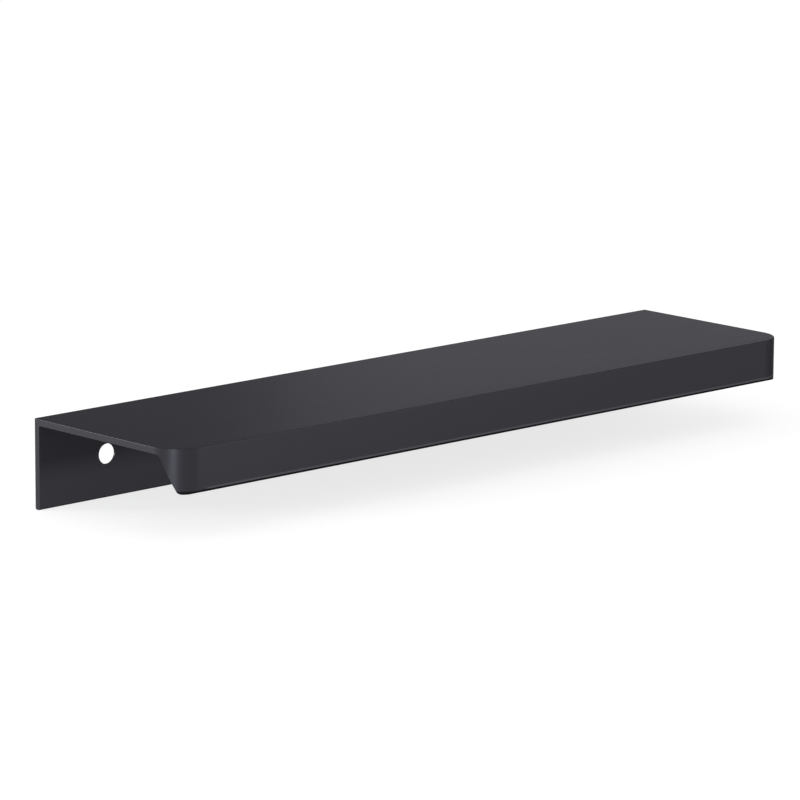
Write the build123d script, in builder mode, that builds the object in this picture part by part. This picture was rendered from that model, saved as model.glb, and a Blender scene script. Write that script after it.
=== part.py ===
from build123d import *
import os

# Edge pull for a drawer front or cabinet door, in one piece: an aluminium section with a
# rear flange, a thin top plate and a wedge-shaped finger lip, cut to length. Its two front
# corners are milled round, and the flange is drilled and countersunk from behind.
# X runs along the pull, +Y points into the cabinet and +Z up. The origin lies midway
# between the two screw holes, on the face of the flange that bears on the panel.

# Overall sizes in millimetres
length = 200.0
depth = 49.0
corner_radius = 8.0

# Walls of the section
plate_thickness = 1.6
flange_thickness = 1.5
flange_height = 21.3
inner_corner_radius = 0.5
toe_radius = 0.4
top_edge_radius = 0.2

# Finger lip, thick at its root and narrow at its nose
lip_height = 10.4
lip_nose_width = 2.2
lip_root_width = 6.0
lip_nose_radius = 1.0
lip_root_radius = 2.0

# Screw holes in the flange
hole_spacing = 160.0
hole_drop = 11.0
hole_diameter = 4.8
countersink_diameter = 7.0
countersink_angle = 90.0

# Levels and faces that follow from the sizes
top = hole_drop
plate_underside = top - plate_thickness
lip_bottom = top - lip_height
flange_bottom = top - flange_height
rear = flange_thickness
front = rear - depth

# Corners of the section, as distances in Y and Z
front_top = (front, top)
nose_outer = (front, lip_bottom)
nose_inner = (front + lip_nose_width, lip_bottom)
lip_root = (front + lip_root_width, plate_underside)
inner_corner = (0, plate_underside)
toe_front = (0, flange_bottom)
toe_rear = (rear, flange_bottom)
rear_top = (rear, top)

with BuildPart() as edge_pull:
    # The section is drawn looking along the pull and extruded to both sides of the middle.
    with BuildSketch(Plane.YZ) as section:
        with BuildLine():
            Polyline(
                front_top, nose_outer, nose_inner, lip_root,
                inner_corner, toe_front, toe_rear, rear_top,
                close=True,
            )
        make_face()
        for corner, radius in (
            (nose_outer, lip_nose_radius),
            (nose_inner, lip_nose_radius),
            (lip_root, lip_root_radius),
            (inner_corner, inner_corner_radius),
            (toe_front, toe_radius),
            (toe_rear, toe_radius),
        ):
            fillet(section.vertices().sort_by_distance(corner)[0], radius)
    extrude(amount=length / 2, both=True)

    # Both front corners are milled to a round in plan, through the plate and the lip.
    with BuildSketch(Plane.XY.offset(top)) as plan:
        with Locations((0, (front + rear) / 2)):
            Rectangle(length, depth)
        fillet(plan.vertices().group_by(Axis.Y)[0], corner_radius)
    extrude(amount=-(flange_height + lip_height), mode=Mode.INTERSECT)

    # The outline of the top face is softened all the way round.
    fillet(edge_pull.faces().sort_by(Axis.Z)[-1].edges(), top_edge_radius)

    # The screws come from inside the cabinet, so their heads sink into the rear face.
    with Locations(Plane(origin=(0, rear, 0), x_dir=(1, 0, 0), z_dir=(0, 1, 0))):
        with GridLocations(hole_spacing, 0, 2, 1):
            CounterSinkHole(
                radius=hole_diameter / 2,
                counter_sink_radius=countersink_diameter / 2,
                depth=flange_thickness,
                counter_sink_angle=countersink_angle,
            )

edge_pull.part.label = "edge_pull"
os.makedirs("parts", exist_ok=True)
export_step(edge_pull.part, "parts/edge_pull.step")
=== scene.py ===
import math

import bpy
from mathutils import Euler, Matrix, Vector


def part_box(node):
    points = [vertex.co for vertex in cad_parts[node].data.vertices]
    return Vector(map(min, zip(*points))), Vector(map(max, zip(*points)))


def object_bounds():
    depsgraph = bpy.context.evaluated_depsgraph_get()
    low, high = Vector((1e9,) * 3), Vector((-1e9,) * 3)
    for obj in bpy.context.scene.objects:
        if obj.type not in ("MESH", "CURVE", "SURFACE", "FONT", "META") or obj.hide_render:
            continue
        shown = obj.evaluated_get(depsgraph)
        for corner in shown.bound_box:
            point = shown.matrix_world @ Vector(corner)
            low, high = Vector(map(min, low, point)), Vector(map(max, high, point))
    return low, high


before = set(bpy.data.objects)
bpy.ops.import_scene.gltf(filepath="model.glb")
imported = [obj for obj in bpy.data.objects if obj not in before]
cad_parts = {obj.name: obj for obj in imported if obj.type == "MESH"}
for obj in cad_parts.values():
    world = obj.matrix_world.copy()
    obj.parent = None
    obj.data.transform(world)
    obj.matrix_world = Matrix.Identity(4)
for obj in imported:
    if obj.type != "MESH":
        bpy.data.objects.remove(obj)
cad_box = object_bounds()


# Edge pull: one aluminium section, cut to length, milled round at its front corners and
# drilled from behind. A fine matt black coat with a faint cool cast covers it all over,
# thin enough to keep some of the metal's dull sheen.
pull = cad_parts["edge_pull"]

coat = bpy.data.materials.new("matt_black_coat")
coat.use_nodes = True
nodes = coat.node_tree.nodes
links = coat.node_tree.links
surface = nodes["Principled BSDF"]
surface.inputs["Metallic"].default_value = 0.5
surface.inputs["Specular IOR Level"].default_value = 0.0
surface.inputs["Specular Tint"].default_value = (0.438, 0.433, 0.449, 1.0)

place = nodes.new("ShaderNodeTexCoord")

# The die leaves very faint streaks along the section, which the coat hardly hides.
streak_stretch = nodes.new("ShaderNodeMapping")
streak_stretch.inputs["Scale"].default_value = (6.0, 900.0, 900.0)
links.new(place.outputs["Object"], streak_stretch.inputs["Vector"])
streaks = nodes.new("ShaderNodeTexNoise")
streaks.inputs["Scale"].default_value = 1.0
streaks.inputs["Detail"].default_value = 3.0
links.new(streak_stretch.outputs["Vector"], streaks.inputs["Vector"])

# The grain of the coat is about a tenth of a millimetre across.
grain = nodes.new("ShaderNodeTexNoise")
grain.inputs["Scale"].default_value = 9000.0
grain.inputs["Detail"].default_value = 2.0
links.new(place.outputs["Object"], grain.inputs["Vector"])

shade = nodes.new("ShaderNodeValToRGB")
shade.color_ramp.elements[0].position = 0.30
shade.color_ramp.elements[0].color = (0.0274, 0.0265, 0.0313, 1.0)
shade.color_ramp.elements[1].position = 0.70
shade.color_ramp.elements[1].color = (0.0316, 0.0305, 0.0361, 1.0)
links.new(grain.outputs["Fac"], shade.inputs["Fac"])


def rise(along, starts, ends):
    """Gives a socket that rises from 0 to 1 as the coordinate goes from starts to ends."""
    slope = nodes.new("ShaderNodeMapRange")
    slope.inputs["From Min"].default_value = starts
    slope.inputs["From Max"].default_value = ends
    links.new(along, slope.inputs["Value"])
    return slope.outputs["Result"]


def overlap(first, second):
    """Gives a socket that is 1 only where both of the given ones are."""
    product = nodes.new("ShaderNodeMath")
    product.operation = "MULTIPLY"
    links.new(first, product.inputs[0])
    links.new(second, product.inputs[1])
    return product.outputs["Value"]


# A thin paler line, a painted highlight, runs along the lip where its rounded nose begins,
# as far as the left corner. Below that line, painted shade makes the nose a deeper black all the
# way round.
lip_height = 0.0104
corner_radius = 0.008
behind_lip = -0.035
lip_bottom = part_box("edge_pull")[1][2] - lip_height
left_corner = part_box("edge_pull")[0][0] + corner_radius
corner_fade = 0.002
line_fades = lip_bottom + 0.00124
line_is_full = lip_bottom + 0.00094
nose_fades = lip_bottom + 0.00073
nose_is_full = lip_bottom + 0.00066
point = nodes.new("ShaderNodeSeparateXYZ")
links.new(place.outputs["Object"], point.inputs["Vector"])
on_lip = nodes.new("ShaderNodeMath")
on_lip.operation = "LESS_THAN"
on_lip.inputs[1].default_value = behind_lip
links.new(point.outputs["Y"], on_lip.inputs[0])

# Painted highlight: a paler coat colour stands in for the light caught where the nose begins.
painted_highlight = nodes.new("ShaderNodeMixRGB")
painted_highlight.inputs["Color2"].default_value = (0.070, 0.068, 0.077, 1.0)
line_on_lip = overlap(on_lip.outputs["Value"], rise(point.outputs["Z"], line_fades, line_is_full))
past_corner = rise(point.outputs["X"], left_corner, left_corner + corner_fade)
links.new(overlap(line_on_lip, past_corner), painted_highlight.inputs["Fac"])
links.new(shade.outputs["Color"], painted_highlight.inputs["Color1"])

# Painted shade: a deeper black stands in for the dark that the rounded nose turns towards.
painted_dark_nose = nodes.new("ShaderNodeMixRGB")
painted_dark_nose.inputs["Color2"].default_value = (0.0090, 0.0087, 0.0103, 1.0)
nose_on_lip = overlap(on_lip.outputs["Value"], rise(point.outputs["Z"], nose_fades, nose_is_full))
links.new(nose_on_lip, painted_dark_nose.inputs["Fac"])
links.new(painted_highlight.outputs["Color"], painted_dark_nose.inputs["Color1"])
links.new(painted_dark_nose.outputs["Color"], surface.inputs["Base Color"])

gloss = nodes.new("ShaderNodeMapRange")
gloss.inputs["To Min"].default_value = 0.32
gloss.inputs["To Max"].default_value = 0.36
links.new(streaks.outputs["Fac"], gloss.inputs["Value"])
links.new(gloss.outputs["Result"], surface.inputs["Roughness"])

relief = nodes.new("ShaderNodeBump")
relief.inputs["Strength"].default_value = 0.25
relief.inputs["Distance"].default_value = 0.00001
links.new(grain.outputs["Fac"], relief.inputs["Height"])
links.new(relief.outputs["Normal"], surface.inputs["Normal"])

for coated in pull.material_slots:
    coated.material = coat


# Floor: a wide sheet of plain white board under the pull. It shows white to the camera and
# in reflections, and is dimmed only by the pull's own soft shadow.
floor_half = 4.0
floor_level = cad_box[0][2]
floor_mesh = bpy.data.meshes.new("white_floor")
floor_mesh.from_pydata(
    [
        (-floor_half, -floor_half, floor_level),
        (floor_half, -floor_half, floor_level),
        (floor_half, floor_half, floor_level),
        (-floor_half, floor_half, floor_level),
    ],
    [],
    [(0, 1, 2, 3)],
)
floor = bpy.data.objects.new("white_floor", floor_mesh)
bpy.context.scene.collection.objects.link(floor)


def seen_or_reflected(nodes, links):
    """Gives a socket that is 1 to the camera, in reflections and through glass, else 0."""
    ray = nodes.new("ShaderNodeLightPath")
    camera_or_gloss = nodes.new("ShaderNodeMath")
    camera_or_gloss.operation = "MAXIMUM"
    links.new(ray.outputs["Is Camera Ray"], camera_or_gloss.inputs[0])
    links.new(ray.outputs["Is Glossy Ray"], camera_or_gloss.inputs[1])
    any_view = nodes.new("ShaderNodeMath")
    any_view.operation = "MAXIMUM"
    links.new(camera_or_gloss.outputs[0], any_view.inputs[0])
    links.new(ray.outputs["Is Transmission Ray"], any_view.inputs[1])
    return any_view.outputs[0]


board = bpy.data.materials.new("white_board")
board.use_nodes = True
nodes = board.node_tree.nodes
links = board.node_tree.links
nodes.remove(nodes["Principled BSDF"])
matt = nodes.new("ShaderNodeBsdfDiffuse")
matt.inputs["Color"].default_value = (0.50, 0.50, 0.50, 1.0)
lift = nodes.new("ShaderNodeMath")
lift.operation = "MULTIPLY"
lift.inputs[1].default_value = 0.75
links.new(seen_or_reflected(nodes, links), lift.inputs[0])
glow = nodes.new("ShaderNodeEmission")
links.new(lift.outputs[0], glow.inputs["Strength"])
both = nodes.new("ShaderNodeAddShader")
links.new(matt.outputs[0], both.inputs[0])
links.new(glow.outputs[0], both.inputs[1])
links.new(both.outputs[0], nodes["Material Output"].inputs["Surface"])
floor_mesh.materials.append(board)


# Room: an even pale surround. It lights the pull at a plain level and is white wherever
# the camera or a reflection sees it.
room = bpy.data.worlds.new("pale_room")
bpy.context.scene.world = room
room.use_nodes = True
nodes = room.node_tree.nodes
links = room.node_tree.links
air = nodes["Background"]
air.inputs["Color"].default_value = (1.0, 1.0, 1.0, 1.0)
level = nodes.new("ShaderNodeMapRange")
level.inputs["To Min"].default_value = 0.50
level.inputs["To Max"].default_value = 1.0
links.new(seen_or_reflected(nodes, links), level.inputs["Value"])
links.new(level.outputs["Result"], air.inputs["Strength"])


# Softboxes: plain panels on low stands round the pull, all aimed at its middle. Two behind
# it grade the light along the top, one in front fills the lip, one lights the sawn left
# end, and a narrow one picks out the left-hand corner.
# Bearings run from +X towards +Y. They and the elevations are in degrees, sizes and
# distances in metres, powers in watts.
middle = Vector((0.0, -0.02, 0.0))
for name, bearing, elevation, distance, panel_width, panel_height, power, colour in (
    ("softbox_behind_1", 36.7, 12.0, 0.60, 0.200, 0.12, 0.125, (1.0, 1.0, 1.0)),
    ("softbox_behind_2", 48.7, 12.0, 0.60, 0.052, 0.12, 0.030, (1.0, 1.0, 1.0)),
    ("softbox_front", 300.0, 2.5, 0.80, 0.400, 0.08, 2.35, (1.0, 1.0, 1.0)),
    ("softbox_left_end", 140.0, 3.0, 0.80, 0.200, 0.09, 5.4, (1.0, 0.99, 0.94)),
    ("softbox_left_corner", 207.0, 3.0, 0.60, 0.050, 0.07, 2.15, (0.93, 1.0, 1.01)),
):
    panel = bpy.data.lights.new(name, "AREA")
    panel.shape = "RECTANGLE"
    panel.size = panel_width
    panel.size_y = panel_height
    panel.energy = power
    panel.color = colour
    lamp = bpy.data.objects.new(name, panel)
    bpy.context.scene.collection.objects.link(lamp)
    turn = Euler((0.0, -math.radians(elevation), math.radians(bearing)))
    reach = Vector((distance, 0.0, 0.0))
    reach.rotate(turn)
    lamp.location = middle + reach
    lamp.rotation_euler = (-reach).to_track_quat("-Z", "Y").to_euler()
    lamp.visible_camera = False


# Camera: stands at the front left, a little above the pull, with a long lens.
lens = bpy.data.cameras.new("long_lens")
lens.sensor_width = 36.0
lens.lens = 218.48
lens.clip_start = 0.05
camera = bpy.data.objects.new("camera", lens)
bpy.context.scene.collection.objects.link(camera)
camera.location = (-0.78187, -0.83839, 0.23928)
camera.rotation_euler = Euler(
    (math.radians(78.285), math.radians(-0.295), math.radians(-43.407))
)
bpy.context.scene.camera = camera
bpy.context.scene.view_settings.view_transform = "Standard"
